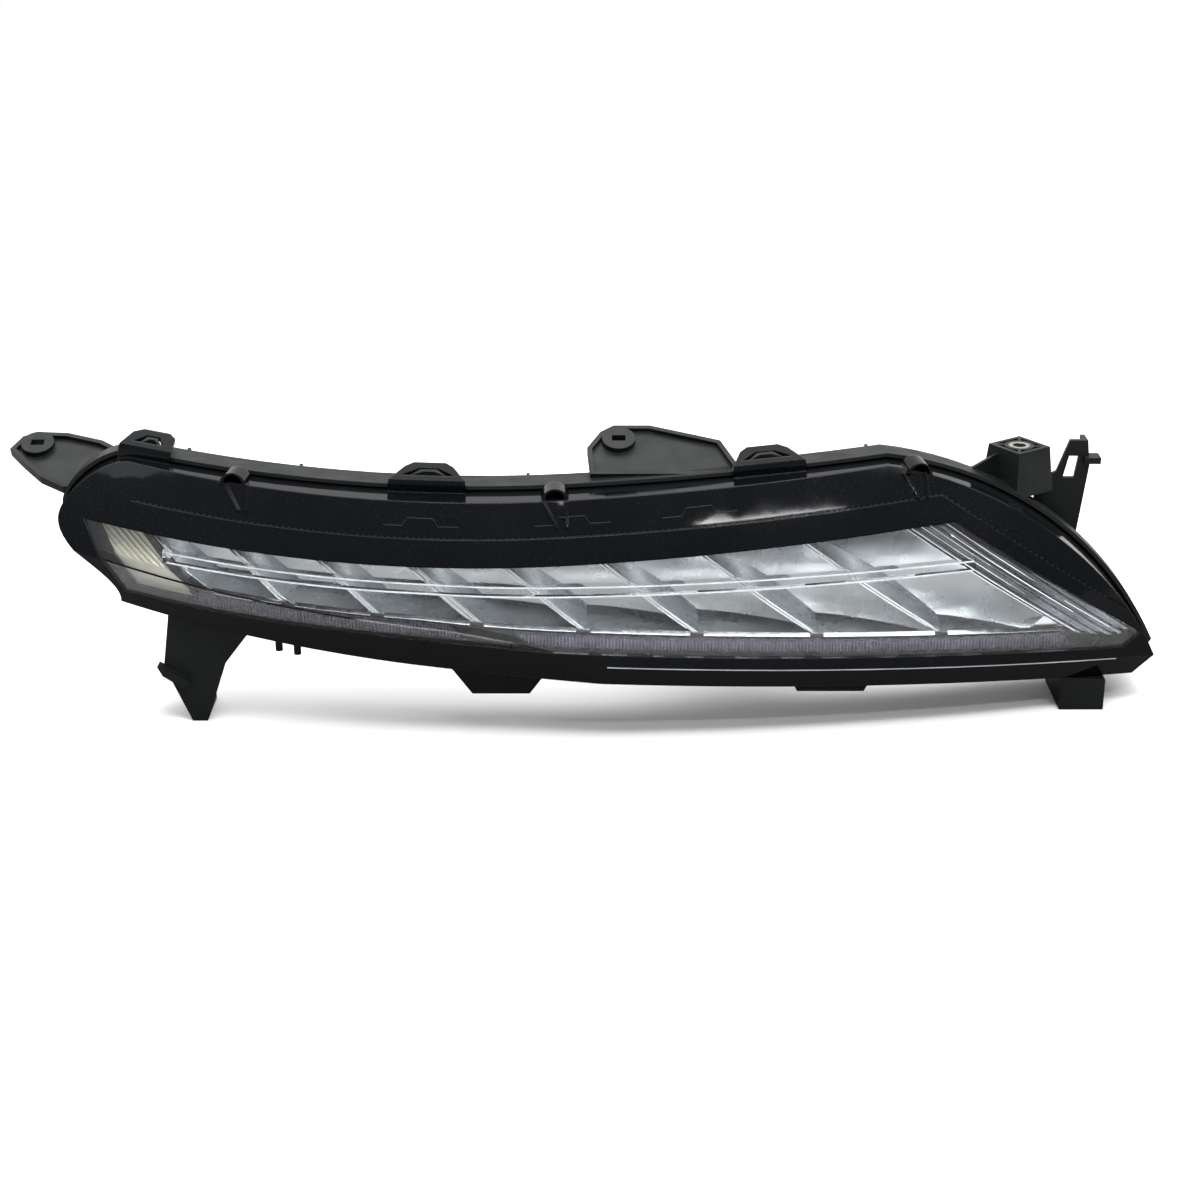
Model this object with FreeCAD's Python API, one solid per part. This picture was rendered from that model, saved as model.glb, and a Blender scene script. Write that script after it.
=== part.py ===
"""Slim front lamp of a car: a clear and black front cover on a black tub, with eight mirror cells inside.

Millimetres. X runs along the lamp to the outboard tip, +Y goes back into the car and +Z is up.
The front cover, the mask and the mirror cells are layers of one curved front surface, so each
layer is that surface moved back by a depth, trimmed by an outline drawn in the front view.
"""

import FreeCAD
import Part
import math
import os

Vec = FreeCAD.Vector

# Front surface: a sweep in plan and a bulge in side view
SWEEP_X = -68.0
SWEEP_R = 1300.0
NOSE_Z = 40.0
BULGE_R = 120.0

# Smile of the upper lines, lowest at SMILE_X
SMILE_X = -63.0
SMILE_LEFT_SPAN = 229.0
SMILE_LEFT_RISE = 18.5
SMILE_RIGHT_SPAN = 276.0
SMILE_RIGHT_RISE = 15.0

# Keel, the lower edge of the front cover
KEEL_X = -20.0
KEEL_Z = 28.0
KEEL_SLOPE = -0.06
KEEL_LEFT_SPAN = 255.0
KEEL_LEFT_RISE = 20.5

# Bands of the front view, as heights above the keel or the window
WINDOW_TOP_Z = 97.0
TOP_BAND = 33.0
SEAM_BAND = 15.0
SEAM_WIDTH = 0.9
SEAM_DEPTH = 0.6
WINDOW_LIP = 21.0
WINDOW_LIP_LEFT = 9.0
LIP_FULL_X = -100.0
STRIP_HEIGHT = 9.0
CHIN_LEFT = 29.0
CHIN_RIGHT = 14.0
CHIN_KINK_START = -88.0
CHIN_KINK_END = 4.0
CHIN_BACK = 0.45

# Ends of the front cover and of its clear window
LEFT_TOP_X = -271.0
LEFT_TIP = (-315.0, 117.0)
LEFT_FOOT_X = -281.0
RIGHT_TOP_X = 175.0
RIGHT_SHOULDER = (207.0, 134.5)
RIGHT_FLANK = (286.0, 92.0)
RIGHT_TIP = (343.0, 20.0)
RIGHT_FOOT_X = 331.0
WINDOW_LEFT_TOP_X = -299.0
WINDOW_LEFT_FOOT_X = -277.0
WINDOW_RIGHT_TOP_X = 214.0
WINDOW_RIGHT_TIP = (333.0, 37.0)
WINDOW_RIGHT_FOOT_X = 322.0

# Walls, depths behind the front surface, and clearances
LENS_WALL = 3.0
RIM_Y = 40.0
RIM_LEAN = 0.25
CHANNEL_DEPTH = 9.0
CHANNEL_WALL = 2.3
CHANNEL_CLEAR = 1.0
BEAD = 2.2
TUB_WALL = 2.5
TUB_INSET = 2.0
BACK_Y = 76.0
BACK_LEAN = 0.15
MASK_DEPTH = 13.0
MASK_WALL = 2.5
LAYER_GAP = 0.2
MIRROR_WALL = 2.2
MIRROR_FLANGE = 6.0
CELL_DEPTH = 40.0
CELL_BOWL_X = 150.0
CELL_BOWL_Z = 30.0

# Mirror cells: slanted dividers with a pitch that grows outboard
CELL_COUNT = 8
LEFT_CELLS = 3
FIRST_DIVIDER_X = -246.0
CELL_PITCH = 47.5
CELL_GROWTH = 1.5
CELL_SLANT = 1.05
CELL_SLANT_GROWTH = 0.06
DIVIDER = 4.0
CELL_TOP_CLEAR = 2.0

# Light guide, trims and the small boards above the cells
GUIDE_SHARE = 0.62
GUIDE_HEIGHT = 6.0
GUIDE_DEPTH = 7.0
GUIDE_FOOT = 9.0
STRIP_WALL = 2.6
STRIP_SPLIT = 30.0
FLUTE_PITCH = 4.0
FLUTE_DEPTH = 1.6
TRIM_WALL = 1.5
TRIM_RIBS = 5
TRIM_RIB = 3.2
TRIM_PITCH = 8.0
TRIM_RIB_DEPTH = 5.0
BOARD_LENGTH = 26.0
BOARD_WIDTH = 12.0
BOARD_THICK = 1.6
EMITTER = 3.5
EMITTER_THICK = 0.9
EMITTER_HOLE = 7.0
SINK_BASE = 2.0
SINK_HEIGHT = 11.0
SINK_FIN = 1.8
SINK_FINS = 5

# Hook loops, catches and lugs of the cover
LOOP_ROOT = 3.2
LOOP_WALL = 2.6
LOOP_LIFT = 5.0
LOOP_LENGTH = 19.0
LOOP_RISE = 0.2
LOOP_BAR = 6.5
LOOP_CORNER = 5.0
CATCH_FOOT = -0.5
CATCH_HEIGHT = 10.0
CATCH_CLEAR = 0.8
CATCH_WALL = 1.6
TOP_LOOPS = ((-266.0, 32.0, 21.0), (-98.0, 46.0, 24.0), (104.0, 44.0, 24.0))
TOP_LUGS = (-209.0, -23.0, 190.0)
LUG_R = 8.0
LUG_LENGTH = 14.0
LEG_DROP = 13.0
LEG_HEIGHT = 1.4
LOW_LUGS = ((-55.0, 60.0, 34.0, 16.0), (142.0, 50.0, 40.0, 8.0))
LOW_PINS = (-187.0, -176.0)
PIN_R = 2.2
PIN_DROP = 9.0

# Fixing tabs: plates that rise to the back, with a rim and a slotted boss
TAB_RISE = 22.0
TAB_WALL = 3.0
TAB_RIM = 3.0
TAB_RIM_HEIGHT = 2.5
BOSS_R = 10.0
BOSS_HEIGHT = 3.5
SLOT_LENGTH = 8.0
SLOT_WIDTH = 5.0
LEFT_TAB_ROOT = (-318.0, 82.0, 122.0)
LEFT_TAB_BOSS = (-22.0, 36.0)
MID_TAB_ROOT = (0.0, 70.0, 134.0)
MID_TAB_BOSS = (15.0, 28.0)

# Tower with its threaded bush, and the arm beside it
TOWER_X = 260.0
TOWER_Y = 112.0
TOWER_TOP_Z = 140.0
TOWER_FOOT_Z = 112.0
TOWER_TOP = 26.0
TOWER_FOOT = 31.0
TOWER_TURN = 35.0
TOWER_WALL = 2.6
BUSH_R = 6.5
BUSH_BORE_R = 4.0
BUSH_LENGTH = 16.0
TOWER_BOSS_R = 9.0
RECESS = 1.6
ARM_Y = 121.0
ARM_WALL = 3.0
ARM_FLANGE = 12.0

# Standing foot under the inboard end and resting lug under the outboard end
FLOOR_Z = -12.0
FOOT_Y = 40.0
FOOT_FLANGE = 34.0
FOOT_WALL = 3.0
REST_X = (285.0, 312.0)
REST_Y = (56.0, 100.0)

# Back of the tub: ribs, driver, connector and breathers
BACK_RIBS = 9
RIB_WALL = 2.0
RIB_HEIGHT = 4.0
DRIVER_X = 92.0
DRIVER_Z = 76.0
DRIVER_LENGTH = 100.0
DRIVER_HEIGHT = 58.0
DRIVER_FRAME = 10.0
DRIVER_BASE = 4.0
DRIVER_BODY = 14.0
DRIVER_FINS = 7
DRIVER_FIN = 5.0
GASKET = 1.6
SCREW_R = 2.0
SCREW_CLEAR = 0.2
SCREW_HEAD_R = 3.8
SCREW_HEAD = 2.8
SCREW_GRIP = 10.0
PLUG_X = -110.0
PLUG_Z = 84.0
PLUG_FLANGE_R = 22.0
PLUG_HOLE_R = 15.0
PLUG_FLANGE = 3.0
SHROUD = (32.0, 19.0, 22.0)
SHROUD_WALL = 2.2
PIN = 1.4
PIN_PITCH = 5.0
PIN_COUNT = 5
PIN_LENGTH = 13.0
VENTS = ((-215.0, 98.0), (222.0, 80.0))
SPIGOT_R = 7.0
SPIGOT_BORE_R = 5.0
SPIGOT_LENGTH = 12.0
CAP_R = 10.0
CAP_LENGTH = 10.0

SAMPLES = 9
FAR = 400.0


def smile(x):
    """Rise of the upper lines above their lowest point."""
    if x < SMILE_X:
        return SMILE_LEFT_RISE * ((SMILE_X - x) / SMILE_LEFT_SPAN) ** 2
    return SMILE_RIGHT_RISE * ((x - SMILE_X) / SMILE_RIGHT_SPAN) ** 1.5


def window_top(x):
    return WINDOW_TOP_Z + smile(x)


def lens_top(x):
    return window_top(x) + TOP_BAND


def seam(x):
    return window_top(x) + SEAM_BAND


def keel(x):
    """Lower edge of the front cover, straight outboard and swept up at the inboard end."""
    upsweep = max(0.0, (KEEL_X - x) / KEEL_LEFT_SPAN)
    return KEEL_Z + KEEL_SLOPE * (x - KEEL_X) + KEEL_LEFT_RISE * upsweep**2


def ramp(x, start, end):
    """0 before start, 1 after end, straight between them."""
    return min(1.0, max(0.0, (x - start) / (end - start)))


def window_bottom(x):
    return keel(x) + WINDOW_LIP_LEFT + (WINDOW_LIP - WINDOW_LIP_LEFT) * ramp(x, LEFT_FOOT_X, LIP_FULL_X)


def cell_bottom(x):
    return window_bottom(x) + STRIP_HEIGHT


def cell_top(x):
    return window_top(x) - CELL_TOP_CLEAR


def chin_crease(x):
    """Fold of the cover: high inboard, low outboard, with a slanted kink between."""
    return keel(x) + CHIN_LEFT + (CHIN_RIGHT - CHIN_LEFT) * ramp(x, CHIN_KINK_START, CHIN_KINK_END)


def sweep(x):
    return (x - SWEEP_X) ** 2 / (2 * SWEEP_R)


def front_y(x, z):
    return sweep(x) + (z - NOSE_Z) ** 2 / (2 * BULGE_R)


def rim_y(x, z):
    return RIM_Y + sweep(x) + RIM_LEAN * (z - NOSE_Z)


def back_y(x, z):
    return BACK_Y + sweep(x) + BACK_LEAN * (z - NOSE_Z)


# Solids from curved sheets and outlines


def span(low, high, count=SAMPLES):
    """Evenly spaced values from low to high."""
    return [low + (high - low) * i / (count - 1) for i in range(count)]


def quadratic_poles(values):
    """Control values of the parabola through three evenly spaced values."""
    first, middle, last = values
    return [first, 2 * middle - (first + last) / 2, last]


def sheet(height, depth=0.0):
    """Curved sheet y = height(x, z) + depth, for a height that is quadratic in x and in z."""
    xs = span(-FAR, FAR, 3)
    zs = span(-FAR / 2, FAR, 3)
    rows = [quadratic_poles([height(x, z) + depth for z in zs]) for x in xs]
    columns = [quadratic_poles([row[j] for row in rows]) for j in range(3)]
    poles = [[Vec(xs[i], columns[j][i], zs[j]) for j in range(3)] for i in range(3)]
    surface = Part.BSplineSurface()
    surface.buildFromPolesMultsKnots(poles, (3, 3), (3, 3), (0, 1), (0, 1), False, False, 2, 2)
    return surface.toShape()


def slab(height, near, far):
    """Everything between two depths of a curved sheet."""
    return sheet(height, near).extrude(Vec(0, far - near, 0))


def curve_edge(places):
    """Straight edge through two places, smooth edge through more."""
    if len(places) == 2:
        return Part.LineSegment(places[0], places[1]).toShape()
    curve = Part.BSplineCurve()
    curve.interpolate(places)
    return curve.toShape()


def edge_through(points, y):
    return curve_edge([Vec(x, y, z) for x, z in points])


def prism(outline, near=-FAR / 2, far=FAR):
    """An outline of the front view, pushed through the lamp along Y."""
    wire = Part.Wire([edge_through(points, near) for points in outline])
    return Part.Face(wire).extrude(Vec(0, far - near, 0))


def polygon(corners):
    """Outline with straight sides through the corners."""
    return [[corners[i], corners[(i + 1) % len(corners)]] for i in range(len(corners))]


def unit(dx, dz):
    length = math.hypot(dx, dz)
    return dx / length, dz / length


def grown(outline, distance):
    """The outline moved outward by a distance, its corners along their mitres. It runs clockwise."""
    moved = []
    sides = len(outline)
    for i, points in enumerate(outline):
        before = outline[i - 1]
        after = outline[(i + 1) % sides]
        last = len(points) - 1
        side = []
        for k, (x, z) in enumerate(points):
            low = points[max(k - 1, 0)]
            high = points[min(k + 1, last)]
            tangents = [unit(high[0] - low[0], high[1] - low[1])]
            if k == 0:
                tangents.append(unit(before[-1][0] - before[-2][0], before[-1][1] - before[-2][1]))
            if k == last:
                tangents.append(unit(after[1][0] - after[0][0], after[1][1] - after[0][1]))
            normals = [(-dz, dx) for dx, dz in tangents]
            nx = sum(n[0] for n in normals) / len(normals)
            nz = sum(n[1] for n in normals) / len(normals)
            stretch = distance / (nx * nx + nz * nz)
            side.append((x + nx * stretch, z + nz * stretch))
        moved.append(side)
    return moved


def curve_points(guide, start, end, shift=0.0):
    return [(x, guide(x) + shift) for x in span(start, end)]


def cover_outline():
    """Front view of the whole front cover, clockwise from the upper inboard corner."""
    left_foot = (LEFT_FOOT_X, keel(LEFT_FOOT_X))
    left_top = (LEFT_TOP_X, lens_top(LEFT_TOP_X))
    right_top = (RIGHT_TOP_X, lens_top(RIGHT_TOP_X))
    right_foot = (RIGHT_FOOT_X, keel(RIGHT_FOOT_X))
    lower_left = tuple((a * 2 + b * 3) / 5 for a, b in zip(left_foot, LEFT_TIP))
    upper_left = ((LEFT_TIP[0] * 4 + left_top[0]) / 5, (LEFT_TIP[1] + left_top[1]) / 2)
    return [
        curve_points(lens_top, LEFT_TOP_X, RIGHT_TOP_X),
        [right_top, RIGHT_SHOULDER, RIGHT_FLANK, RIGHT_TIP],
        [RIGHT_TIP, right_foot],
        curve_points(keel, RIGHT_FOOT_X, LEFT_FOOT_X),
        [left_foot, lower_left, LEFT_TIP, upper_left, left_top],
    ]


def window_outline():
    """Front view of the clear part of the front cover."""
    left_top = (WINDOW_LEFT_TOP_X, window_top(WINDOW_LEFT_TOP_X))
    left_foot = (WINDOW_LEFT_FOOT_X, window_bottom(WINDOW_LEFT_FOOT_X))
    right_top = (WINDOW_RIGHT_TOP_X, window_top(WINDOW_RIGHT_TOP_X))
    right_foot = (WINDOW_RIGHT_FOOT_X, window_bottom(WINDOW_RIGHT_FOOT_X))
    return [
        curve_points(window_top, WINDOW_LEFT_TOP_X, WINDOW_RIGHT_TOP_X),
        [right_top, WINDOW_RIGHT_TIP],
        [WINDOW_RIGHT_TIP, right_foot],
        curve_points(window_bottom, WINDOW_RIGHT_FOOT_X, WINDOW_LEFT_FOOT_X),
        [left_foot, left_top],
    ]


def ring(outline, outer, inner):
    """Prism between two offsets of an outline."""
    return prism(grown(outline, outer)).cut(prism(grown(outline, inner)))


def chin_wedges(depth):
    """What the folded chin takes away below its crease, for a layer at this depth."""
    drop = FAR / 4
    lift = FAR / 20
    stretches = (
        (-FAR, CHIN_KINK_START, SAMPLES),
        (CHIN_KINK_START, CHIN_KINK_END, 2),
        (CHIN_KINK_END, FAR, SAMPLES),
    )
    wedges = []
    for start, end, count in stretches:
        places = []
        for x in span(start, end, count):
            z = chin_crease(x)
            places.append(Vec(x, front_y(x, z) + depth - CHIN_BACK * lift, z + lift))
        crease = curve_edge(places)
        face = crease.extrude(Vec(0, CHIN_BACK * (drop + lift), -drop - lift))
        wedges.append(face.extrude(Vec(0, -FAR / 4, 0)))
    return wedges


def behind(solid, depth):
    """The part of a solid behind the front surface moved back by a depth, with the chin folded under."""
    kept = solid.common(slab(front_y, depth, FAR / 2))
    for wedge in chin_wedges(depth):
        kept = kept.cut(wedge)
    return kept


def layer(solid, near, far):
    """The part of a solid in the folded layer between two depths."""
    return behind(solid, near).cut(behind(solid, far))


def box(low, high):
    """Box between two corners."""
    size = [b - a for a, b in zip(low, high)]
    return Part.makeBox(size[0], size[1], size[2], Vec(*low))


def rod(radius, start, length, axis=(0, 1, 0)):
    return Part.makeCylinder(radius, length, Vec(*start), Vec(*axis))


def side_profile(points, start, width):
    """A closed profile in Y and Z, pushed along X."""
    places = [Vec(start, y, z) for y, z in points]
    return Part.Face(Part.makePolygon(places + places[:1])).extrude(Vec(width, 0, 0))


def plan_profile(points, low, high):
    """A closed profile in X and Y, pushed up along Z."""
    places = [Vec(x, y, low) for x, y in points]
    return Part.Face(Part.makePolygon(places + places[:1])).extrude(Vec(0, 0, high - low))


def front_profile(points, near, far):
    """A closed profile in X and Z, pushed back along Y."""
    return prism(polygon(points), near, far)


def joined(shapes):
    return shapes[0].multiFuse(shapes[1:]) if len(shapes) > 1 else shapes[0]


# Front cover


def cover_shell():
    """Front wall and skirt of the moulded cover, clear and black together."""
    outline = cover_outline()
    outer = behind(prism(outline).common(slab(rim_y, -FAR / 2, 0)), 0)
    inner = behind(prism(grown(outline, -LENS_WALL)), LENS_WALL)
    return outer.cut(inner)


def seam_groove():
    """Fine groove in the black band, above the window and down its outboard side."""
    half = SEAM_WIDTH / 2
    end_x = WINDOW_RIGHT_TOP_X - SEAM_BAND / 2
    run_x = WINDOW_RIGHT_TIP[0] - WINDOW_RIGHT_TOP_X
    run_z = WINDOW_RIGHT_TIP[1] - window_top(WINDOW_RIGHT_TOP_X)
    corner = (end_x, seam(end_x))
    foot = (end_x + run_x, seam(end_x) + run_z)
    upper = (corner[0] + half, corner[1] + half)
    lower = (corner[0] - half, corner[1] - half)
    foot_upper = (foot[0] + half, foot[1] + half)
    foot_lower = (foot[0] - half, foot[1] - half)
    outline = [
        curve_points(seam, LEFT_TOP_X, end_x, half)[:-1] + [upper],
        [upper, foot_upper],
        [foot_upper, foot_lower],
        [foot_lower, lower],
        [lower] + curve_points(seam, end_x, LEFT_TOP_X, -half)[1:],
        [(LEFT_TOP_X, seam(LEFT_TOP_X) - half), (LEFT_TOP_X, seam(LEFT_TOP_X) + half)],
    ]
    return prism(outline).common(slab(front_y, -1, SEAM_DEPTH))


def top_edge(x):
    """Upper edge of the cover, with the slope down to its outboard shoulder."""
    if x < RIGHT_TOP_X:
        return lens_top(x)
    share = (x - RIGHT_TOP_X) / (RIGHT_SHOULDER[0] - RIGHT_TOP_X)
    return lens_top(RIGHT_TOP_X) + share * (RIGHT_SHOULDER[1] - lens_top(RIGHT_TOP_X))


def on_top_edge(shape, x):
    """Places a shape, drawn about the front of the channel, on the upper edge of the cover."""
    step = 1.0
    slope = math.degrees(math.atan((top_edge(x + step) - top_edge(x - step)) / (2 * step)))
    z = top_edge(x)
    turn = math.degrees(math.atan((rim_y(x + step, z) - rim_y(x - step, z)) / (2 * step)))
    shape.rotate(Vec(0, 0, 0), Vec(0, 0, 1), turn)
    shape.rotate(Vec(0, 0, 0), Vec(0, 1, 0), -slope)
    shape.translate(Vec(x, rim_y(x, z) - CHANNEL_DEPTH, z))
    return shape


def hook_loop(x, base, tip):
    """Loop that reaches back over the channel and snaps on a catch."""
    end = LOOP_LENGTH
    root = -LOOP_ROOT
    rise = LOOP_LIFT + LOOP_RISE * end
    section = [
        (root, -LENS_WALL),
        (root + LOOP_WALL, -LENS_WALL),
        (root + LOOP_WALL, LOOP_LIFT),
        (end, rise),
        (end, rise + LOOP_WALL),
        (root + LOOP_WALL / 2, LOOP_LIFT + LOOP_WALL),
        (root, LOOP_LIFT),
    ]
    sheet_part = side_profile(section, -base / 2, base)
    wide = tip / 2 + LOOP_CORNER / 2
    narrow = tip / 2 - LOOP_CORNER / 2
    plan = [(-base / 2, root), (base / 2, root), (wide, end - LOOP_CORNER)]
    plan += [(narrow, end), (-narrow, end), (-wide, end - LOOP_CORNER)]
    window = plan_profile(loop_window(base, tip, 0), -FAR, FAR)
    loop = sheet_part.common(plan_profile(plan, -FAR, FAR)).cut(window)
    return on_top_edge(loop, x)


def loop_window(base, tip, inset):
    """Plan of the window in a loop, made smaller by an inset."""
    near = LOOP_BAR / 2 + inset
    far = LOOP_LENGTH - LOOP_BAR - inset
    wide = base / 2 - LOOP_BAR - inset
    narrow = tip / 2 - LOOP_BAR - inset
    return [(-wide, near), (wide, near), (narrow, far), (-narrow, far)]


def catch(x, base, tip):
    """Hollow wedge on the tub that fills the window of a loop."""
    near = LOOP_BAR / 2
    far = LOOP_LENGTH - LOOP_BAR
    section = [(near, CATCH_FOOT), (far, CATCH_FOOT), (far, CATCH_HEIGHT), (near, CATCH_HEIGHT / 2)]
    wedge = side_profile(section, -base / 2, base)
    wedge = wedge.common(plan_profile(loop_window(base, tip, CATCH_CLEAR), -FAR, FAR))
    pocket = loop_window(base, tip, CATCH_CLEAR + CATCH_WALL)
    wedge = wedge.cut(plan_profile(pocket, CATCH_HEIGHT / 3, FAR))
    return on_top_edge(wedge, x)


def top_lug(x):
    """Round lug with a slot on the skirt."""
    length = LUG_LENGTH
    lug = rod(LUG_R, (0, -length - LOOP_ROOT, -LENS_WALL / 2), length)
    lug = lug.cut(rod(LUG_R - LOOP_WALL, (0, -length - LOOP_ROOT - 1, 0), length - 2))
    lug = lug.cut(box((-FAR, -FAR, -FAR), (FAR, FAR, -LENS_WALL / 2)))
    return on_top_edge(lug, x)


def lug_legs(x):
    """Two ribs that run from a round lug down the front of the black band."""
    z = top_edge(x)
    legs = []
    for side in (-1, 1):
        foot_x = x + 0.6 * LUG_R + side * LUG_R / 3
        head_x = x + side * (LUG_R - LOOP_WALL / 2)
        half = LOOP_WALL / 3
        low = z - LEG_DROP
        corners = [(head_x - half, z), (head_x + half, z), (foot_x + half, low), (foot_x - half, low)]
        legs.append(front_profile(corners, -FAR / 4, FAR / 2))
    return Part.makeCompound(legs).common(slab(front_y, -LEG_HEIGHT, LENS_WALL / 2))


def low_lug(x, base, tip, drop):
    """Tapered plate that hangs from the lower edge of the cover."""
    z = keel(x)
    root = z + LENS_WALL / 2
    corners = [(x - base / 2, root), (x + base / 2, root), (x + tip / 2, z - drop), (x - tip / 2, z - drop)]
    y = min(rim_y(*corner) for corner in corners) - CHANNEL_DEPTH - LOOP_ROOT
    return front_profile(corners, y, y + LOOP_WALL)


def low_pin(x):
    z = keel(x)
    y = rim_y(x, z) - CHANNEL_DEPTH - LOOP_ROOT - PIN_R
    return rod(PIN_R, (x, y, z - PIN_DROP), PIN_DROP + LENS_WALL / 2, (0, 0, 1))


def front_pieces():
    shell = cover_shell()
    window = prism(window_outline())
    black = shell.cut(window)
    extras = [hook_loop(*loop) for loop in TOP_LOOPS]
    extras += [top_lug(x) for x in TOP_LUGS]
    extras += [leg for x in TOP_LUGS for leg in lug_legs(x).Solids]
    extras += [low_lug(*lug) for lug in LOW_LUGS]
    extras += [low_pin(x) for x in LOW_PINS]
    black = black.multiFuse(extras).cut(seam_groove())
    return {"clear_lens": shell.common(window), "lens_frame": black}


# Mirror cells and what stands in front of them

MIRROR_DEPTH = MASK_DEPTH + MASK_WALL + LAYER_GAP


def divider(i, shift=0.0):
    """Upper and lower end of a slanted divider, moved along X."""
    x = FIRST_DIVIDER_X + CELL_PITCH * i + CELL_GROWTH * i * i
    slant = CELL_SLANT + CELL_SLANT_GROWTH * i
    middle = (cell_top(x) + cell_bottom(x)) / 2
    ends = []
    for guide in (cell_top, cell_bottom):
        end = x
        for step in range(8):
            end = x + slant * (middle - guide(end))
        ends.append((end + shift, guide(end + shift)))
    return ends


def split_gap():
    """Half the width of the divider where the two mirror mouldings meet, along X."""
    slant = CELL_SLANT + CELL_SLANT_GROWTH * LEFT_CELLS
    return (MIRROR_WALL + LAYER_GAP) * math.hypot(1, slant)


def cell_corners(i):
    left = split_gap() if i == LEFT_CELLS else DIVIDER / 2
    right = split_gap() if i + 1 == LEFT_CELLS else DIVIDER / 2
    upper_left, lower_left = divider(i, left)
    upper_right, lower_right = divider(i + 1, -right)
    return [upper_left, upper_right, lower_right, lower_left]


def cell_middle(i):
    corners = cell_corners(i)
    return sum(c[0] for c in corners) / 4, sum(c[1] for c in corners) / 4


def bowl(i):
    """Height of the mirror bowl of a cell."""
    cx, cz = cell_middle(i)
    deepest = front_y(cx, cz) + MIRROR_DEPTH + CELL_DEPTH
    return lambda x, z: deepest - (x - cx) ** 2 / (2 * CELL_BOWL_X) - (z - cz) ** 2 / (2 * CELL_BOWL_Z)


def cells_outline(first, last, left=0.0, right=0.0):
    """Front view of a run of cells, from one divider to another."""
    upper_left, lower_left = divider(first, left)
    upper_right, lower_right = divider(last, right)
    return [
        curve_points(cell_top, upper_left[0], upper_right[0]),
        [upper_right, lower_right],
        curve_points(cell_bottom, lower_right[0], lower_left[0]),
        [lower_left, upper_left],
    ]


def beside_split(outboard):
    """Half space on one side of the line where the two mirror mouldings meet."""
    sign = 1 if outboard else -1
    upper, lower = divider(LEFT_CELLS, sign * LAYER_GAP)
    reach = 3.0
    high = (upper[0] + (upper[0] - lower[0]) * reach, upper[1] + (upper[1] - lower[1]) * reach)
    low = (lower[0] - (upper[0] - lower[0]) * reach, lower[1] - (upper[1] - lower[1]) * reach)
    reach = sign * 2 * FAR
    return front_profile([high, low, (low[0] + reach, low[1]), (high[0] + reach, high[1])], -FAR, FAR)


def reflector(first, last):
    """A run of mirror cups with a flange that lies against the mask."""
    cups = []
    for i in range(first, last):
        outside = prism(grown(polygon(cell_corners(i)), MIRROR_WALL))
        cups.append(outside.common(slab(bowl(i), -FAR / 2, MIRROR_WALL)))
    flange = prism(grown(cells_outline(first, last), MIRROR_FLANGE))
    flange = flange.common(slab(front_y, -FAR / 4, MIRROR_DEPTH + MIRROR_WALL))
    body = behind(joined(cups + [flange]), MIRROR_DEPTH)
    for i in range(first, last):
        body = body.cut(prism(polygon(cell_corners(i))).common(slab(bowl(i), -FAR / 2, 0)))
        body = body.cut(emitter_place(i, EMITTER_HOLE, -MIRROR_WALL - 1, 1))
    body = body.cut(prism(grown(end_outline(DIVIDER / 4), LAYER_GAP)))
    return body.common(beside_split(first >= LEFT_CELLS))


def board_frame(i):
    """Middle of the upper wall of a cell, its direction along the wall, and the front of the board."""
    corners = cell_corners(i)
    (x1, z1), (x2, z2) = corners[0], corners[1]
    ux, uz = unit(x2 - x1, z2 - z1)
    mx = (x1 + x2) / 2
    mz = (z1 + z2) / 2
    reach = MIRROR_WALL + BOARD_THICK + SINK_HEIGHT
    ends = [mx - BOARD_LENGTH / 2, mx + BOARD_LENGTH / 2]
    near = max(front_y(x, mz + reach + abs(uz) * BOARD_LENGTH) for x in ends) + MIRROR_DEPTH + 1.0
    return mx, mz, ux, uz, near


def on_cell_roof(i, points, near, far):
    """A profile drawn along and above the upper wall of a cell, pushed back along Y."""
    mx, mz, ux, uz, front = board_frame(i)
    corners = [(mx + a * ux - b * uz, mz + a * uz + b * ux) for a, b in points]
    return front_profile(corners, front + near, front + far)


def emitter_place(i, size, low, high):
    """Square block under the middle of a board; its heights are measured from the board's lower face."""
    half = size / 2
    middle = BOARD_WIDTH / 2
    base = MIRROR_WALL + LAYER_GAP
    points = [(-half, base + low), (-half, base + high), (half, base + high), (half, base + low)]
    return on_cell_roof(i, points, middle - half, middle + half)


def led_board(i):
    half = BOARD_LENGTH / 2
    low = MIRROR_WALL + LAYER_GAP
    high = low + BOARD_THICK
    return on_cell_roof(i, [(-half, low), (-half, high), (half, high), (half, low)], 0, BOARD_WIDTH)


def heat_sink(i):
    """Finned block on the board, drawn as one comb."""
    half = BOARD_LENGTH / 2
    low = MIRROR_WALL + LAYER_GAP + BOARD_THICK
    floor = low + SINK_BASE
    top = low + SINK_HEIGHT
    step = (BOARD_LENGTH - SINK_FIN) / (SINK_FINS - 1)
    points = [(-half, low)]
    for k in range(SINK_FINS):
        left = -half + k * step
        points += [(left, floor), (left, top), (left + SINK_FIN, top), (left + SINK_FIN, floor)]
    points = [points[0]] + points[2:-1] + [(half, low)]
    return on_cell_roof(i, points, 0, BOARD_WIDTH)


def mask():
    """Black inner cap with an opening for the cells."""
    outline = cover_outline()
    inset = LENS_WALL + CHANNEL_CLEAR + LAYER_GAP
    outer = prism(grown(outline, -inset)).common(slab(rim_y, -FAR / 2, -CHANNEL_DEPTH - LAYER_GAP))
    outer = behind(outer, MASK_DEPTH)
    inner = behind(prism(grown(outline, -inset - MASK_WALL)), MASK_DEPTH + MASK_WALL)
    opened = outer.cut(inner).cut(prism(cells_outline(0, CELL_COUNT))).cut(prism(end_outline(0)))
    return opened.cut(prism(guide_foot()))


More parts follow.
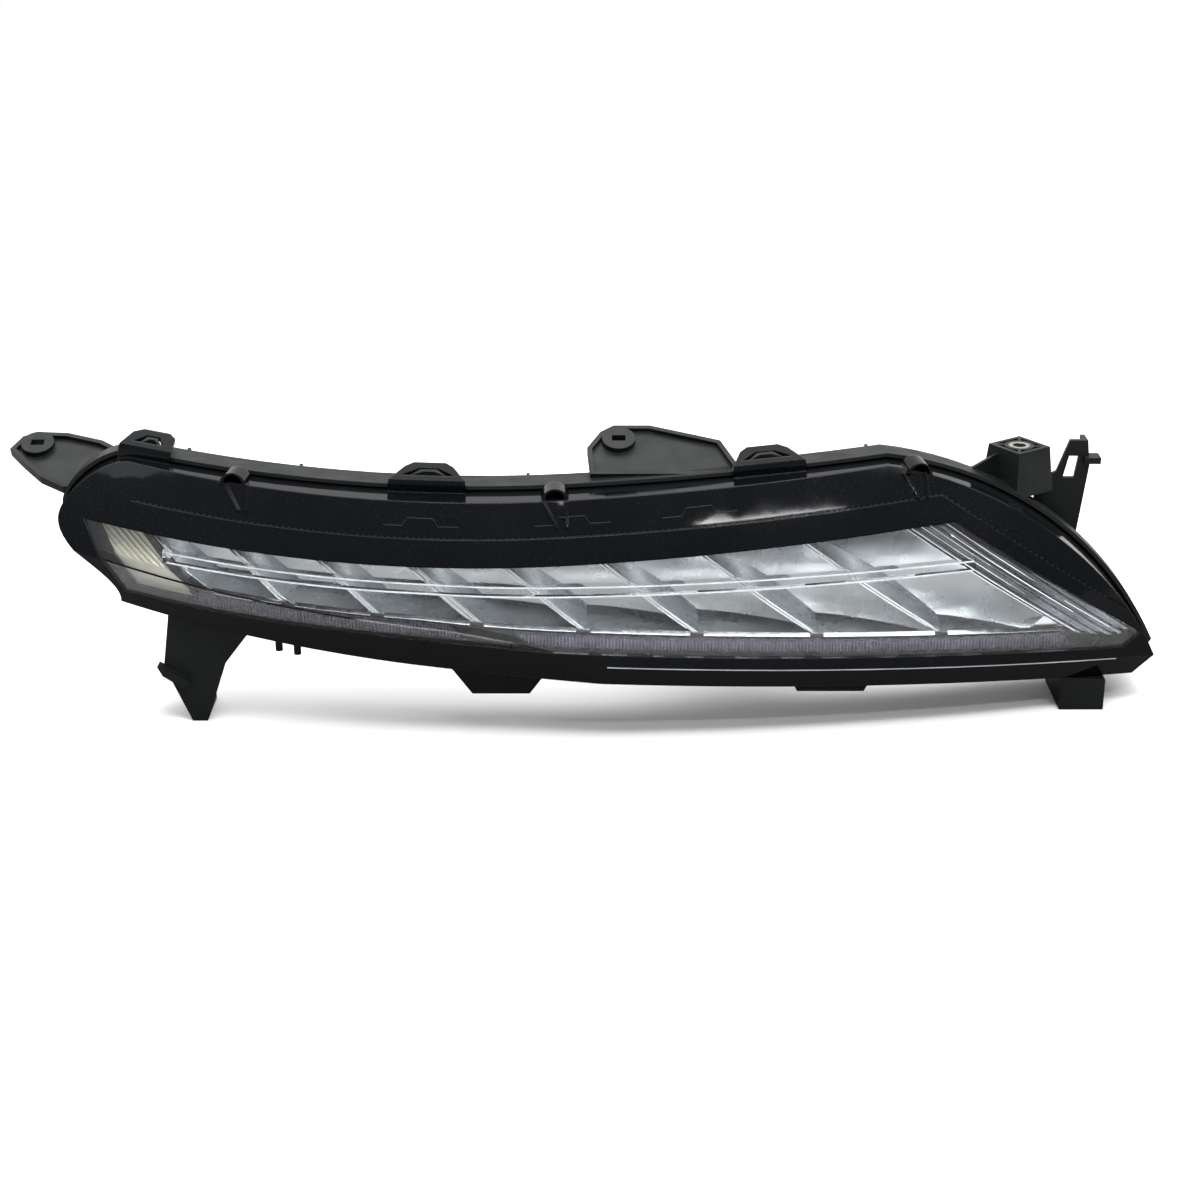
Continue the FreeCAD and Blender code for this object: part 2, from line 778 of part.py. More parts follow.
def end_outline(margin):
    """Front view of the inboard end reflector."""
    upper, lower = divider(0, margin - DIVIDER)
    start = WINDOW_LEFT_TOP_X + MIRROR_FLANGE - margin
    foot = WINDOW_LEFT_FOOT_X + MIRROR_FLANGE - margin
    return [
        curve_points(cell_top, start, upper[0], margin),
        [(upper[0], upper[1] + margin), (lower[0], window_bottom(lower[0]) + 2 - margin)],
        curve_points(window_bottom, lower[0], foot, 2 - margin),
        [(foot, window_bottom(foot) + 2 - margin), (start, cell_top(start) + margin)],
    ]


def end_reflector():
    """Pale plate behind the mask with slanted flutes."""
    plate = layer(prism(end_outline(DIVIDER / 4)), MIRROR_DEPTH, MIRROR_DEPTH + 2 * MIRROR_WALL)
    upper, lower = divider(0)
    count = int((upper[0] - WINDOW_LEFT_TOP_X) / FLUTE_PITCH) + 6
    grooves = []
    for k in range(count):
        shift = -FLUTE_PITCH * (k + 1) - DIVIDER / 2
        high = (upper[0] + (upper[0] - lower[0]) + shift, upper[1] + (upper[1] - lower[1]))
        low = (lower[0] - (upper[0] - lower[0]) + shift, lower[1] - (upper[1] - lower[1]))
        band = [high, (high[0] + FLUTE_PITCH / 2, high[1]), (low[0] + FLUTE_PITCH / 2, low[1]), low]
        grooves.append(front_profile(band, -FAR / 4, FAR / 2))
    cutter = Part.makeCompound(grooves).common(slab(front_y, 0, MIRROR_DEPTH + FLUTE_DEPTH))
    return plate.cut(cutter)


def guide_z(x):
    return cell_bottom(x) + GUIDE_SHARE * (cell_top(x) - cell_bottom(x))


def bar_outline(start, end):
    half = GUIDE_HEIGHT / 2
    upper = curve_points(guide_z, start, end, half)
    lower = curve_points(guide_z, end, start, -half)
    return [upper, [upper[-1], lower[0]], lower, [lower[-1], upper[0]]]


def guide_outline():
    return bar_outline(crossing(0) - DIVIDER / 2, crossing(CELL_COUNT) + GUIDE_FOOT)


def guide_foot():
    """Front view of the foot that holds the inboard end of the light guide."""
    start = crossing(0) - DIVIDER / 2
    return bar_outline(start, start + DIVIDER)


def light_guide():
    """Clear bar across all cells, with a foot on the first divider and its other end on the mask."""
    bar = layer(prism(guide_outline()), GUIDE_DEPTH, MASK_DEPTH - LAYER_GAP)
    stub = prism(grown(guide_foot(), -LAYER_GAP))
    foot = layer(stub, GUIDE_DEPTH + GUIDE_HEIGHT / 4, MIRROR_DEPTH - LAYER_GAP)
    return bar.fuse(foot)


def crossing(i):
    """X where the light guide crosses a divider."""
    upper, lower = divider(i)
    x = upper[0]
    for step in range(8):
        share = (upper[1] - guide_z(x)) / (upper[1] - lower[1])
        x = upper[0] + share * (lower[0] - upper[0])
    return x


def strip_outline(start, end, lean):
    """Ribbed strip along the lower edge of the window, with slanted ends."""
    low = -1.0
    high = STRIP_HEIGHT - 1.0
    upper = curve_points(window_bottom, start - lean, end - lean, high)
    lower = curve_points(window_bottom, end, start, low)
    return [upper, [upper[-1], lower[0]], lower, [lower[-1], upper[0]]]


def fluted_strip(start, end):
    outline = strip_outline(start, end, STRIP_HEIGHT * CELL_SLANT)
    return layer(prism(outline), MASK_DEPTH - LAYER_GAP - STRIP_WALL, MASK_DEPTH - LAYER_GAP)


def end_trim():
    """Ribbed trim between the last cell and the outboard edge of the window."""
    gap = 3.0
    upper, lower = divider(CELL_COUNT, gap)
    tip = WINDOW_RIGHT_TIP
    right_top = (WINDOW_RIGHT_TOP_X, window_top(WINDOW_RIGHT_TOP_X))
    outer = [(right_top[0] - gap, upper[1]), (tip[0] - gap, tip[1]), (tip[0] - 5 * gap, tip[1] - gap)]
    corners = [upper] + outer + [lower]
    field = prism(polygon(corners))
    seat = MASK_DEPTH - LAYER_GAP
    base = layer(field, seat - TRIM_WALL, seat)
    ribs = []
    for k in range(TRIM_RIBS):
        high, low = divider(CELL_COUNT, gap + TRIM_PITCH * k)
        foot = (2 * low[0] - high[0], 2 * low[1] - high[1])
        rib = [high, (high[0] + TRIM_RIB, high[1]), (foot[0] + TRIM_RIB, foot[1]), foot]
        ribs.append(front_profile(rib, -FAR / 4, FAR / 2))
    ridges = layer(field.common(Part.makeCompound(ribs)), seat - TRIM_RIB_DEPTH, seat)
    return base.fuse(ridges).cut(prism(grown(guide_outline(), LAYER_GAP)))


def inner_pieces():
    pieces = {
        "mask": mask(),
        "reflector_left": reflector(0, LEFT_CELLS),
        "reflector_right": reflector(LEFT_CELLS, CELL_COUNT),
        "end_reflector": end_reflector(),
        "light_guide": light_guide(),
        "end_trim": end_trim(),
    }
    kink = divider(LEFT_CELLS)[1][0]
    pieces["fluted_strip_left"] = fluted_strip(divider(0)[1][0], kink - STRIP_SPLIT / 4)
    pieces["fluted_strip_right"] = fluted_strip(kink + STRIP_SPLIT, WINDOW_RIGHT_FOOT_X - STRIP_SPLIT)
    emitters = []
    for i in range(CELL_COUNT):
        pieces["led_board_%d" % (i + 1)] = led_board(i)
        pieces["heat_sink_%d" % (i + 1)] = heat_sink(i)
        emitters.append(emitter_place(i, EMITTER, -EMITTER_THICK, 0))
    pieces["led_chips"] = Part.makeCompound(emitters)
    return pieces


# Tub with everything moulded on it


def tab_plate(root, outline, boss):
    """Rising plate with a raised rim and an upright boss with a slot."""
    floor = [Vec(x, y, 0) for x, y in outline]
    face = Part.Face(Part.makePolygon(floor + floor[:1]))
    plate = face.extrude(Vec(0, 0, TAB_WALL))
    inner = face.makeOffset2D(-TAB_RIM)
    rim = face.cut(inner).extrude(Vec(0, 0, TAB_WALL + TAB_RIM_HEIGHT))
    stud = rod(BOSS_R, (boss[0], boss[1], 0), TAB_WALL + BOSS_HEIGHT, (0, 0, 1))
    slot_low = (boss[0] - SLOT_LENGTH / 2, boss[1] - SLOT_WIDTH / 2, -FAR)
    slot_high = (boss[0] + SLOT_LENGTH / 2, boss[1] + SLOT_WIDTH / 2, FAR)
    tab = joined([plate, rim, stud]).cut(box(slot_low, slot_high))
    tab.rotate(Vec(0, 0, 0), Vec(1, 0, 0), TAB_RISE)
    tab.translate(Vec(*root))
    return tab


def left_tab():
    outline = [(30, -4), (0, -4), (-15, 5), (-28, 19), (-38, 31)]
    outline += [(-32, 43), (-22, 47), (-5, 46), (17, 39), (30, 30)]
    return tab_plate(LEFT_TAB_ROOT, outline, LEFT_TAB_BOSS)


def mid_tab():
    outline = [(84, -4), (-2, -4), (-4, 20), (4, 35), (12, 41), (34, 41), (76, 27), (86, 4)]
    return tab_plate(MID_TAB_ROOT, outline, MID_TAB_BOSS)


def square(size, z):
    half = size / 2
    places = [Vec(-half, -half, z), Vec(half, -half, z), Vec(half, half, z), Vec(-half, half, z)]
    return Part.makePolygon(places + places[:1])


def tower():
    """Hollow tapered tower with a ribbed top round the threaded bush."""
    height = TOWER_TOP_Z - TOWER_FOOT_Z
    outside = Part.makeLoft([square(TOWER_FOOT, -height), square(TOWER_TOP, 0)], True, True)
    low = square(TOWER_FOOT - 2 * TOWER_WALL, -height)
    high = square(TOWER_TOP - 2 * TOWER_WALL, -TOWER_WALL - RECESS)
    hollow = Part.makeLoft([low, high], True, True)
    shell = outside.cut(hollow)
    reach = TOWER_TOP / 2 - TOWER_WALL
    recess = box((-reach, -reach, -RECESS), (reach, reach, 1))
    recess = recess.cut(rod(TOWER_BOSS_R, (0, 0, -FAR), 2 * FAR, (0, 0, 1)))
    cross = box((-FAR, -1, -FAR), (FAR, 1, FAR))
    for turn in (45, 135):
        bar = cross.copy()
        bar.rotate(Vec(0, 0, 0), Vec(0, 0, 1), turn)
        recess = recess.cut(bar)
    boss = rod(TOWER_BOSS_R, (0, 0, -BUSH_LENGTH - TOWER_WALL), BUSH_LENGTH + TOWER_WALL, (0, 0, 1))
    body = shell.cut(recess).fuse(boss)
    body = body.cut(rod(BUSH_R, (0, 0, -BUSH_LENGTH), BUSH_LENGTH + 1, (0, 0, 1)))
    body.rotate(Vec(0, 0, 0), Vec(0, 0, 1), TOWER_TURN)
    body.translate(Vec(TOWER_X, TOWER_Y, TOWER_TOP_Z))
    return body


def tower_bush():
    base = (TOWER_X, TOWER_Y, TOWER_TOP_Z - BUSH_LENGTH)
    bush = rod(BUSH_R - SCREW_CLEAR / 4, base, BUSH_LENGTH, (0, 0, 1))
    return bush.cut(rod(BUSH_BORE_R, (TOWER_X, TOWER_Y, 0), FAR, (0, 0, 1)))


def tower_web():
    """Plate from the tub up to the inboard side of the tower."""
    reach = TOWER_FOOT / 2
    start_x = TOWER_X - TOWER_FOOT - reach
    end_x = TOWER_X - reach + TOWER_WALL
    start_y = rim_y(start_x, TOWER_FOOT_Z)
    plan = [(start_x, start_y), (end_x, TOWER_Y - ARM_WALL), (end_x, TOWER_Y), (start_x, start_y + ARM_WALL)]
    slope = [(start_x, TOWER_FOOT_Z - 4), (end_x, TOWER_FOOT_Z)]
    slope += [(end_x, TOWER_TOP_Z - 4), (start_x, TOWER_TOP_Z - 16)]
    return plan_profile(plan, TOWER_FOOT_Z - FAR / 4, TOWER_TOP_Z).common(front_profile(slope, -FAR, FAR))


def arm():
    """Slanted arm outboard of the tower, with a window and a cross piece at the tip."""
    x = TOWER_X
    z = TOWER_TOP_Z
    blade = [(x + 12, z - 62), (x + 14, z - 26), (x + 26, z - 20), (x + 33, z)]
    blade += [(x + 44, z), (x + 46, z - 16), (x + 40, z - 70)]
    sheet_part = front_profile(blade, ARM_Y, ARM_Y + ARM_WALL)
    window = [(x + 30, z - 24), (x + 33, z - 10), (x + 39, z - 10), (x + 37, z - 24)]
    sheet_part = sheet_part.cut(front_profile(window, -FAR, FAR))
    edge = [(x + 37, z - 70), (x + 43, z - 16), (x + 41, z), (x + 44, z), (x + 46, z - 16), (x + 40, z - 70)]
    flange = front_profile(edge, ARM_Y, ARM_Y + ARM_FLANGE)
    cross = box((x + 42, ARM_Y - 4, z - 14), (x + 52, ARM_Y + ARM_FLANGE / 2, z - 10))
    brace = box((x + 8, TOWER_Y, TOWER_FOOT_Z), (x + 22, ARM_Y + ARM_WALL, TOWER_FOOT_Z + 4))
    return joined([sheet_part, flange, cross, brace])


def foot():
    """Thin leg under the inboard end: a web, a side flange and a small pad."""
    web = [(-252, 66), (-258, 24), (-243, FLOOR_Z), (-234, FLOOR_Z), (-221, 26), (-198, 56)]
    plate = front_profile(web, FOOT_Y, FOOT_Y + FOOT_WALL)
    edge = [(-252, 66), (-258, 24), (-243, FLOOR_Z), (-239, FLOOR_Z), (-254.5, 25), (-248.5, 66)]
    flange = front_profile(edge, FOOT_Y, FOOT_Y + FOOT_FLANGE)
    pad = front_profile([(-261, 26), (-258, 20), (-246, 12), (-242, 16)], FOOT_Y - 6, FOOT_Y + FOOT_WALL)
    sole = [(-243, FLOOR_Z), (-243, FLOOR_Z + 3), (-234, FLOOR_Z + 3), (-234, FLOOR_Z)]
    sole = front_profile(sole, FOOT_Y, FOOT_Y + FOOT_FLANGE)
    return joined([plate, flange, pad, sole])


def rest_lug():
    """Block under the outboard end with a flat sole."""
    return box((REST_X[0], REST_Y[0], FLOOR_Z), (REST_X[1], REST_Y[1], keel(REST_X[0])))


def under_tub(shape):
    """Trims a bracket so that it seats against the outside of the channel and the tub."""
    outline = cover_outline()
    reach = CHANNEL_CLEAR + CHANNEL_WALL + LAYER_GAP
    channel = prism(grown(outline, reach)).common(slab(rim_y, -CHANNEL_DEPTH - LAYER_GAP, FAR / 2))
    skirt = prism(grown(outline, LAYER_GAP)).common(slab(rim_y, -FAR / 4, 0))
    return shape.cut(channel).cut(skirt)


def back_ribs(outline):
    """Upright ribs on the back wall."""
    blades = []
    for x in span(LEFT_TOP_X + RIB_HEIGHT * 6, RIGHT_TIP[0] - RIB_HEIGHT * 10, BACK_RIBS):
        blades.append(box((x, 0, -FAR / 4), (x + RIB_WALL, FAR, FAR / 2)))
    return Part.makeCompound(blades).common(prism(outline)).common(slab(back_y, -TUB_WALL / 2, RIB_HEIGHT))


def driver_seat():
    """Flat face at the back that the driver is screwed to: its plane and its front."""
    across = DRIVER_LENGTH / 2
    up = DRIVER_HEIGHT / 2
    corners = [(DRIVER_X + a * across, DRIVER_Z + b * up) for a in (-1, 1) for b in (-1, 1)]
    depths = [back_y(x, z) for x, z in corners]
    return max(depths) + RIB_HEIGHT / 2, min(depths) - TUB_WALL


def plug_seat():
    reach = PLUG_FLANGE_R
    depths = [back_y(PLUG_X + a * reach, PLUG_Z + b * reach) for a in (-1, 1) for b in (-1, 1)]
    return max(depths) + RIB_HEIGHT / 2, min(depths) - TUB_WALL


def driver_plate(length, height, near, far):
    low = (DRIVER_X - length / 2, near, DRIVER_Z - height / 2)
    high = (DRIVER_X + length / 2, far, DRIVER_Z + height / 2)
    return box(low, high)


def driver_body(near, far):
    """Block inside the screw frame of the driver."""
    return driver_plate(DRIVER_LENGTH - 2 * DRIVER_FRAME, DRIVER_HEIGHT - 2 * DRIVER_FRAME, near, far)


def driver_holes():
    inset = DRIVER_FRAME / 2
    xs = (DRIVER_X - DRIVER_LENGTH / 2 + inset, DRIVER_X + DRIVER_LENGTH / 2 - inset)
    zs = (DRIVER_Z - DRIVER_HEIGHT / 2 + inset, DRIVER_Z + DRIVER_HEIGHT / 2 - inset)
    return [(x, z) for x in xs for z in zs]


def housing():
    """Moulded tub: sealing channel, walls, back, tabs, tower, foot and seats for the fittings."""
    outline = cover_outline()
    floor = BEAD + 2 * LAYER_GAP
    lip = CHANNEL_CLEAR + CHANNEL_WALL
    inner_lip = LENS_WALL + CHANNEL_CLEAR + CHANNEL_WALL
    channel = ring(outline, lip, -inner_lip).common(slab(rim_y, -CHANNEL_DEPTH, floor + TUB_WALL))
    groove = ring(outline, CHANNEL_CLEAR, -LENS_WALL - CHANNEL_CLEAR).common(slab(rim_y, -FAR / 4, floor))
    wall = grown(outline, -TUB_INSET)
    tub = prism(wall).common(slab(rim_y, floor, FAR / 2)).common(slab(back_y, -FAR / 2, 0))
    inside = prism(grown(outline, -TUB_INSET - TUB_WALL))
    hollow = inside.common(slab(rim_y, floor, FAR / 2)).common(slab(back_y, -FAR / 2, -TUB_WALL))
    throat = prism(grown(outline, -inner_lip)).common(slab(rim_y, -FAR / 4, floor + TUB_WALL))
    seat, seat_front = driver_seat()
    plug_face, plug_front = plug_seat()
    added = [channel, tub, left_tab(), mid_tab(), tower(), tower_web(), arm(), back_ribs(wall)]
    added += [catch(*loop) for loop in TOP_LOOPS]
    body = joined(added)
    body = body.cut(hollow).cut(throat).cut(groove)
    frame = driver_plate(DRIVER_LENGTH, DRIVER_HEIGHT, seat_front, seat)
    collar = rod(PLUG_FLANGE_R, (PLUG_X, plug_front, PLUG_Z), plug_face - plug_front)
    spigots = []
    bores = []
    for x, z in VENTS:
        root = back_y(x, z)
        spigots.append(rod(SPIGOT_R, (x, root - TUB_WALL, z), SPIGOT_LENGTH + TUB_WALL))
        bores.append(rod(SPIGOT_BORE_R, (x, root - FAR / 8, z), FAR / 4))
    body = body.multiFuse([frame, collar] + spigots)
    opening = driver_body(seat_front - 1, FAR / 2)
    bores += [opening, rod(PLUG_HOLE_R, (PLUG_X, plug_front - 1, PLUG_Z), FAR / 4)]
    bores.append(rod(PLUG_FLANGE_R, (PLUG_X, plug_face, PLUG_Z), FAR / 4))
    bores += [rod(SCREW_R, (x, seat - SCREW_GRIP, z), FAR / 8) for x, z in driver_holes()]
    return body.cut(Part.makeCompound(bores))


def seal_bead():
    outline = cover_outline()
    bead = ring(outline, CHANNEL_CLEAR - LAYER_GAP, LAYER_GAP - LENS_WALL - CHANNEL_CLEAR)
    return bead.common(slab(rim_y, LAYER_GAP, LAYER_GAP + BEAD))


# Fittings on the back


def driver_pieces():
    """Gasket, finned driver and its four screws."""
    seat = driver_seat()[0]
    face = seat + GASKET
    back = face + DRIVER_BASE
    gasket = driver_plate(DRIVER_LENGTH - 2, DRIVER_HEIGHT - 2, seat, face)
    gasket = gasket.cut(driver_body(0, FAR))
    module = driver_plate(DRIVER_LENGTH, DRIVER_HEIGHT, face, back)
    deep = back + DRIVER_BODY
    module = module.fuse(driver_body(back, deep))
    step = (DRIVER_LENGTH - 3 * DRIVER_FRAME) / DRIVER_FINS
    gaps = []
    for k in range(DRIVER_FINS):
        x = DRIVER_X - DRIVER_LENGTH / 2 + 1.5 * DRIVER_FRAME + step * (k + 0.25)
        gaps.append(box((x, deep - DRIVER_FIN, 0), (x + step / 2, FAR, FAR)))
    holes = [rod(SCREW_R + SCREW_CLEAR, (x, 0, z), FAR) for x, z in driver_holes()]
    module = module.cut(Part.makeCompound(gaps + holes))
    gasket = gasket.cut(Part.makeCompound(holes))
    screws = []
    for x, z in driver_holes():
        shank = rod(SCREW_R - SCREW_CLEAR / 4, (x, seat - SCREW_GRIP + 1, z), back - seat + SCREW_GRIP - 1)
        head = rod(SCREW_HEAD_R, (x, back, z), SCREW_HEAD)
        socket = rod(SCREW_R, (x, back + SCREW_HEAD / 2, z), SCREW_HEAD)
        screws.append(shank.fuse(head).cut(socket))
    return {"driver_gasket": gasket, "driver_module": module, "driver_screws": Part.makeCompound(screws)}


def connector_pieces():
    """Seal, keyed socket and contact pins of the lamp connector."""
    seat = plug_seat()[0]
    face = seat + GASKET
    centre = (PLUG_X, seat, PLUG_Z)
    seal = rod(PLUG_FLANGE_R - 1, centre, GASKET).cut(rod(PLUG_HOLE_R, centre, FAR))
    width, height, length = SHROUD
    mouth = face + PLUG_FLANGE + length
    flange = rod(PLUG_FLANGE_R, (PLUG_X, face, PLUG_Z), PLUG_FLANGE)
    barrel = rod(PLUG_HOLE_R - SCREW_CLEAR, (PLUG_X, seat - 2, PLUG_Z), PLUG_FLANGE + GASKET + 2)
    low = (PLUG_X - width / 2, face, PLUG_Z - height / 2)
    high = (PLUG_X + width / 2, mouth, PLUG_Z + height / 2)
    shroud = box(low, high)
    key = box((PLUG_X - 3, face, PLUG_Z + height / 2 - 1), (PLUG_X + 3, mouth - 4, PLUG_Z + height / 2 + 2))
    wall = SHROUD_WALL
    cavity = box(
        (PLUG_X - width / 2 + wall, face + PLUG_FLANGE, PLUG_Z - height / 2 + wall),
        (PLUG_X + width / 2 - wall, FAR, PLUG_Z + height / 2 - wall),
    )
    socket = joined([flange, barrel, shroud, key]).cut(cavity)
    pins = []
    for k in range(PIN_COUNT):
        x = PLUG_X + PIN_PITCH * (k - (PIN_COUNT - 1) / 2)
        root = face + PLUG_FLANGE
        low = (x - PIN / 2, root, PLUG_Z - PIN / 2)
        high = (x + PIN / 2, root + PIN_LENGTH, PLUG_Z + PIN / 2)
        pins.append(box(low, high))
    return {"connector_seal": seal, "connector_socket": socket, "connector_pins": Part.makeCompound(pins)}


def vent_cap(x, z):
    """Soft cap pushed over a breather spigot."""
    root = back_y(x, z)
    tip = root + SPIGOT_LENGTH
    cap = rod(CAP_R, (x, tip + 2 - CAP_LENGTH, z), CAP_LENGTH + 1)
    return cap.cut(rod(SPIGOT_R + SCREW_CLEAR / 2, (x, root, z), SPIGOT_LENGTH + SCREW_CLEAR / 2))


def outer_pieces():
    pieces = {"housing": housing(), "seal_bead": seal_bead(), "tower_insert": tower_bush()}
    pieces["foot_bracket"] = under_tub(foot())
    pieces["rest_bracket"] = under_tub(rest_lug())
    pieces.update(driver_pieces())
    pieces.update(connector_pieces())
    for k, place in enumerate(VENTS):
        pieces["vent_cap_%d" % (k + 1)] = vent_cap(*place)
    return pieces


def single(shape):
    """The solid itself where a piece is one solid, or else its solids as one group."""
    return shape.Solids[0] if len(shape.Solids) == 1 else Part.makeCompound(shape.Solids)


def middle_of_base(shapes):
    """Point on the floor under the middle of the lamp."""
    places = [place for shape in shapes for place in shape.tessellate(1.0)[0]]
    xs = [place.x for place in places]
    ys = [place.y for place in places]
    return Vec((min(xs) + max(xs)) / 2, (min(ys) + max(ys)) / 2, min(place.z for place in places))


pieces = {}
for group in (front_pieces, inner_pieces, outer_pieces):
    pieces.update(group())
pieces = {name: single(shape) for name, shape in pieces.items()}
origin = middle_of_base(pieces.values())
print("origin", origin.x, origin.y, origin.z)
os.makedirs("parts", exist_ok=True)
for name, shape in pieces.items():
    shape.translate(-origin)
    shape.exportStep("parts/%s.step" % name)
    print(name, len(shape.Solids), round(shape.Volume))
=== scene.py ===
# %% [markdown]
# # Slim car headlight
# The lamp is a long swept moulding: a clear window in a gloss black cover, a dull black tub behind it,
# and a row of slanted mirror cells inside. This lesson dresses the exact model with materials, adds the
# fine work that is too small for it, and sets up a bright studio like the one in the photograph.

# %% Load the frame
import bmesh
import bpy
import math
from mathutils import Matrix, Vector
from mathutils.bvhtree import BVHTree


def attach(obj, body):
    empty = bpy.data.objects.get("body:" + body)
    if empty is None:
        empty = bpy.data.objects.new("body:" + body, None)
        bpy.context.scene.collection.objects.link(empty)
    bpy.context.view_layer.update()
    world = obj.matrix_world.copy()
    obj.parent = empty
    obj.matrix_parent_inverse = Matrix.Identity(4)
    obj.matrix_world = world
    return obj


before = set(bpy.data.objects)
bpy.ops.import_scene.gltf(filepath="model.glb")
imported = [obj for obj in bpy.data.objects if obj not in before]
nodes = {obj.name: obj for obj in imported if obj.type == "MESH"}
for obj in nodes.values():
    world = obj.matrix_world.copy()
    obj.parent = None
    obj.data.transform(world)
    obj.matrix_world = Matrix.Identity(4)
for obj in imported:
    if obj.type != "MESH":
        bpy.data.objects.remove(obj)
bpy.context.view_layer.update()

# %% [markdown]
# ## Camera
# The photograph looks down on the lamp by about 22 degrees. A distance of 1.3 m is assumed, and the focal
# length follows from the lamp filling nearly the whole width of the picture.

# %% Camera
MM = 0.001
AIM = Vector((8.1, -39.7, 83.0)) * MM
ELEVATION = math.radians(22)
DISTANCE = 1.3
FOCAL_LENGTH = 66.3
camera = bpy.data.objects.new("camera", bpy.data.cameras.new("camera"))
bpy.context.scene.collection.objects.link(camera)
bpy.context.scene.camera = camera
back = Vector((0, -math.cos(ELEVATION), math.sin(ELEVATION)))
camera.location = AIM + back * DISTANCE
camera.rotation_euler = (-back).to_track_quat("-Z", "Y").to_euler()
camera.data.sensor_width = 36
camera.data.lens = FOCAL_LENGTH
camera.data.clip_start = 0.05
bpy.context.scene.view_settings.view_transform = "Standard"

# %% [markdown]
# ## Small helpers
# Colours are written as the screen shows them and turned to linear light. One function adds a node with
# its settings and links, so that each material below reads as a short recipe.

# %% Helpers
def linear(hex_code):
    """Linear colour of an sRGB hex code."""
    values = [int(hex_code[i:i + 2], 16) / 255 for i in (1, 3, 5)]
    return [v / 12.92 if v <= 0.04045 else ((v + 0.055) / 1.055) ** 2.4 for v in values] + [1.0]


def add(tree, kind, links=None, **settings):
    """Adds a node, sets its inputs or properties, and links its inputs."""
    node = tree.nodes.new("ShaderNode" + kind)
    for name, value in settings.items():
        label = name.replace("_", " ")
        if hasattr(node, name):
            setattr(node, name, value)
        elif label in node.inputs:
            node.inputs[label].default_value = value
        else:
            next(s for s in node.inputs if s.name.lower() == label.lower()).default_value = value
    for name, source in (links or {}).items():
        tree.links.new(source, node.inputs[name])
    return node


def material(name):
    """Empty material and its node tree."""
    made = bpy.data.materials.new(name)
    made.use_nodes = True
    made.node_tree.nodes.clear()
    return made, made.node_tree


def per_mm(period):
    """Texture scale whose pattern repeats about once in this many millimetres."""
    return 1000.0 / period


def spread(tree, coordinates, period, low, high, detail=3.0):
    """Cloudy value between low and high with patches of about this many millimetres."""
    noise = add(tree, "TexNoise", {"Vector": coordinates}, Scale=per_mm(period), Detail=detail)
    ranged = add(tree, "MapRange", {"Value": noise.outputs["Fac"]},
                 From_Min=0.3, From_Max=0.7, To_Min=low, To_Max=high)
    return ranged.outputs["Result"]


def two_tone(tree, factor, dark, pale):
    """Colour that runs from dark to pale with a factor of 0 to 1."""
    ramp = add(tree, "ValToRGB", {"Fac": factor})
    ramp.color_ramp.elements[0].color = linear(dark)
    ramp.color_ramp.elements[1].color = linear(pale)
    return ramp.outputs["Color"]


def paint(name, *targets):
    """Gives nodes their material."""
    for target in targets:
        nodes[target].data.materials.clear()
        nodes[target].data.materials.append(bpy.data.materials[name])
    print(name, "on", len(targets), "nodes")


def looking(tree, *kinds):
    """1 for rays of these kinds, such as Camera, and 0 for all others."""
    path = add(tree, "LightPath")
    value = path.outputs["Is %s Ray" % kinds[0]]
    for kind in kinds[1:]:
        either = add(tree, "Math", {0: value, 1: path.outputs["Is %s Ray" % kind]}, operation="MAXIMUM")
        value = either.outputs["Value"]
    return value


# %% [markdown]
# ## White studio
# The lamp stands on white paper that fades into a white backdrop. Gloss shows the backdrop too, but the paper
# close to the lamp looks pale grey in it, so the black plastic stays black. A wide light overhead makes the
# soft shadow and the long highlights, and two narrow ones draw the streaks on the band.

# %% Paper floor
REACH = 6.0
FADE_START = 0.42
FADE_END = 0.85
floor_mesh = bpy.data.meshes.new("floor")
corners = [(-REACH, -REACH, 0), (REACH, -REACH, 0), (REACH, REACH, 0), (-REACH, REACH, 0)]
floor_mesh.from_pydata(corners, [], [(0, 1, 2, 3)])
floor = bpy.data.objects.new("floor", floor_mesh)
bpy.context.scene.collection.objects.link(floor)
made, tree = material("white paper floor")
where = add(tree, "TexCoord").outputs["Object"]
tone = two_tone(tree, spread(tree, where, 400, 0, 1), "#f4f4f4", "#fafafa")
near = add(tree, "BsdfDiffuse", {"Color": tone})
paper = add(tree, "Emission", Color=(1, 1, 1, 1), Strength=1.0)
distance = add(tree, "VectorMath", {0: where}, operation="LENGTH").outputs["Value"]
far = add(tree, "MapRange", {"Value": distance}, From_Min=FADE_START, From_Max=FADE_END)
pale = add(tree, "BsdfDiffuse", Color=linear("#8c8c8c"))
close = add(tree, "MixShader", {0: looking(tree, "Camera", "Transmission"),
                                1: pale.outputs["BSDF"], 2: near.outputs["BSDF"]})
seen = add(tree, "MixShader",
           {0: far.outputs["Result"], 1: close.outputs["Shader"], 2: paper.outputs["Emission"]})
surface = add(tree, "MixShader", {0: looking(tree, "Camera", "Transmission", "Glossy"),
                                  1: pale.outputs["BSDF"], 2: seen.outputs["Shader"]})
add(tree, "OutputMaterial", {"Surface": surface.outputs["Shader"]})
floor.data.materials.append(made)

